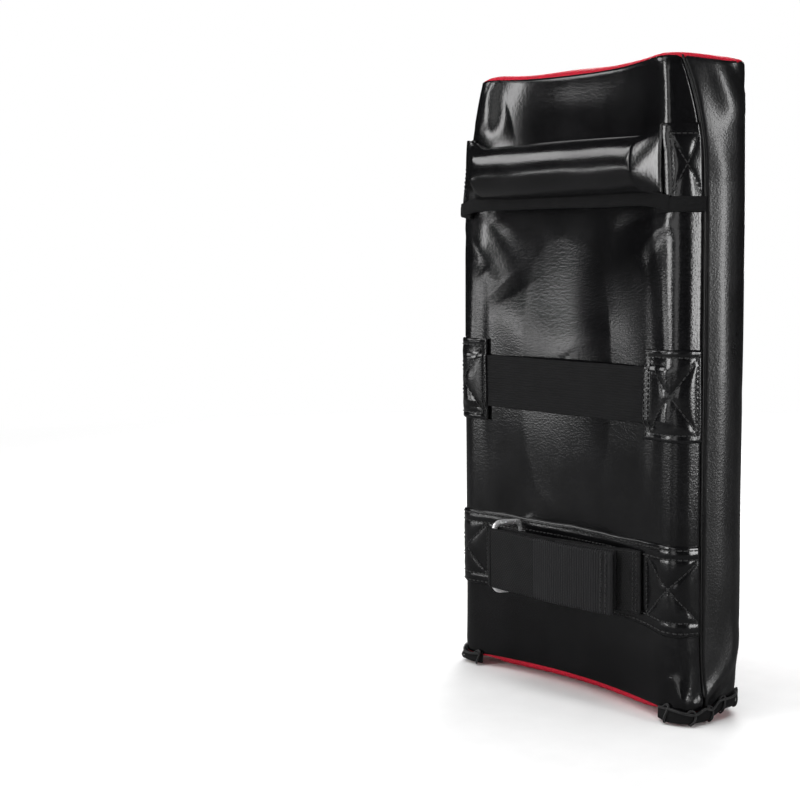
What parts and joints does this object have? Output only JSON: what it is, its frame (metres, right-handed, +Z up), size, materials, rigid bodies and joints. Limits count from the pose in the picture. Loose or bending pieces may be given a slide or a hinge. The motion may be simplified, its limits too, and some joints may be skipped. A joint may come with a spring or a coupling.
{
  "type": "thai pad",
  "caption": "Curved padded strike shield for the forearm, with a padded grip, an elastic band and an adjustable arm strap on its concave back.",
  "frame": {"origin": "middle of the resting face on the bottom cap: midway across the width and the thickness, at floor level", "axes": "+Z up along the pad's length, -Y out of the convex striking face, +Y out of the concave back that carries the straps, +X to the left of someone facing the back"},
  "size_m": [0.224, 0.0956, 0.41],
  "materials": {
    "front_leather": "satin",
    "back_leather": "gloss",
    "trim_leather": "gloss",
    "cap_leather": "gloss",
    "seam_welt": "satin",
    "binding_tape": "matte",
    "heavy_thread": "satin",
    "thread": "satin",
    "strike_foam": "matte",
    "core_foam": "matte",
    "back_foam": "matte",
    "grip_foam": "matte",
    "print_white": "satin",
    "print_red": "satin",
    "elastic_tape": "matte",
    "webbing": "matte",
    "loop_tape": "matte",
    "hook_tape": "matte",
    "ring_chrome": "polished"
  },
  "bodies": {
    "pad": {"front_panel": "front_leather", "back_panel": "back_leather", "side_seam_left": "seam_welt", "side_seam_right": "seam_welt", "top_cap": "cap_leather", "bottom_cap": "cap_leather", "bottom_binding": "binding_tape", "whip_stitching": "heavy_thread", "strike_foam": "strike_foam", "core_foam": "core_foam", "back_foam": "back_foam", "target_print_white": "print_white", "target_print_red": "print_red", "handle_end_left": "trim_leather", "handle_end_right": "trim_leather", "handle_tab_left": "trim_leather", "handle_tab_right": "trim_leather", "handle_stitching": "thread", "elastic_end_left": "elastic_tape", "elastic_end_right": "elastic_tape", "elastic_patch_left": "trim_leather", "elastic_patch_right": "trim_leather", "patch_stitching": "thread", "arm_band": "trim_leather", "band_stitching": "thread", "ring_tab": "webbing", "strap_inner": "webbing", "loop_patch": "loop_tape", "anchor_stitching": "thread"},
    "ring": {"strap_ring": "ring_chrome", "strap_fold": "webbing"},
    "flap": {"strap_flap": "webbing", "hook_patch": "hook_tape", "flap_stitching": "thread"},
    "elastic": {"elastic_band": "elastic_tape"},
    "handle": {"handle_cover": "trim_leather", "handle_core": "grip_foam", "handle_edging": "binding_tape"}
  },
  "joints": [
    {"name": "handle_swing", "type": "hinge", "parent": "pad", "child": "handle", "pos_m": [0, 0.043, 0.342], "axis": [1, 0, 0], "range_deg": [-20, 20], "stiffness_Nm_per_rad": 0.3},
    {"name": "elastic_stretch", "type": "slide", "parent": "pad", "child": "elastic", "axis": [0, 1, 0], "range_m": [0, 0.02], "stiffness_N_per_m": 100},
    {"name": "ring_swing", "type": "hinge", "parent": "pad", "child": "ring", "pos_m": [0.0435, 0.0362, 0.084], "axis": [0, 0, -1], "range_deg": [0, 25]},
    {"name": "flap_peel", "type": "hinge", "parent": "ring", "child": "flap", "pos_m": [0.0493, 0.05917, 0.084], "axis": [0, 0, -1], "range_deg": [0, 150]}
  ]
}
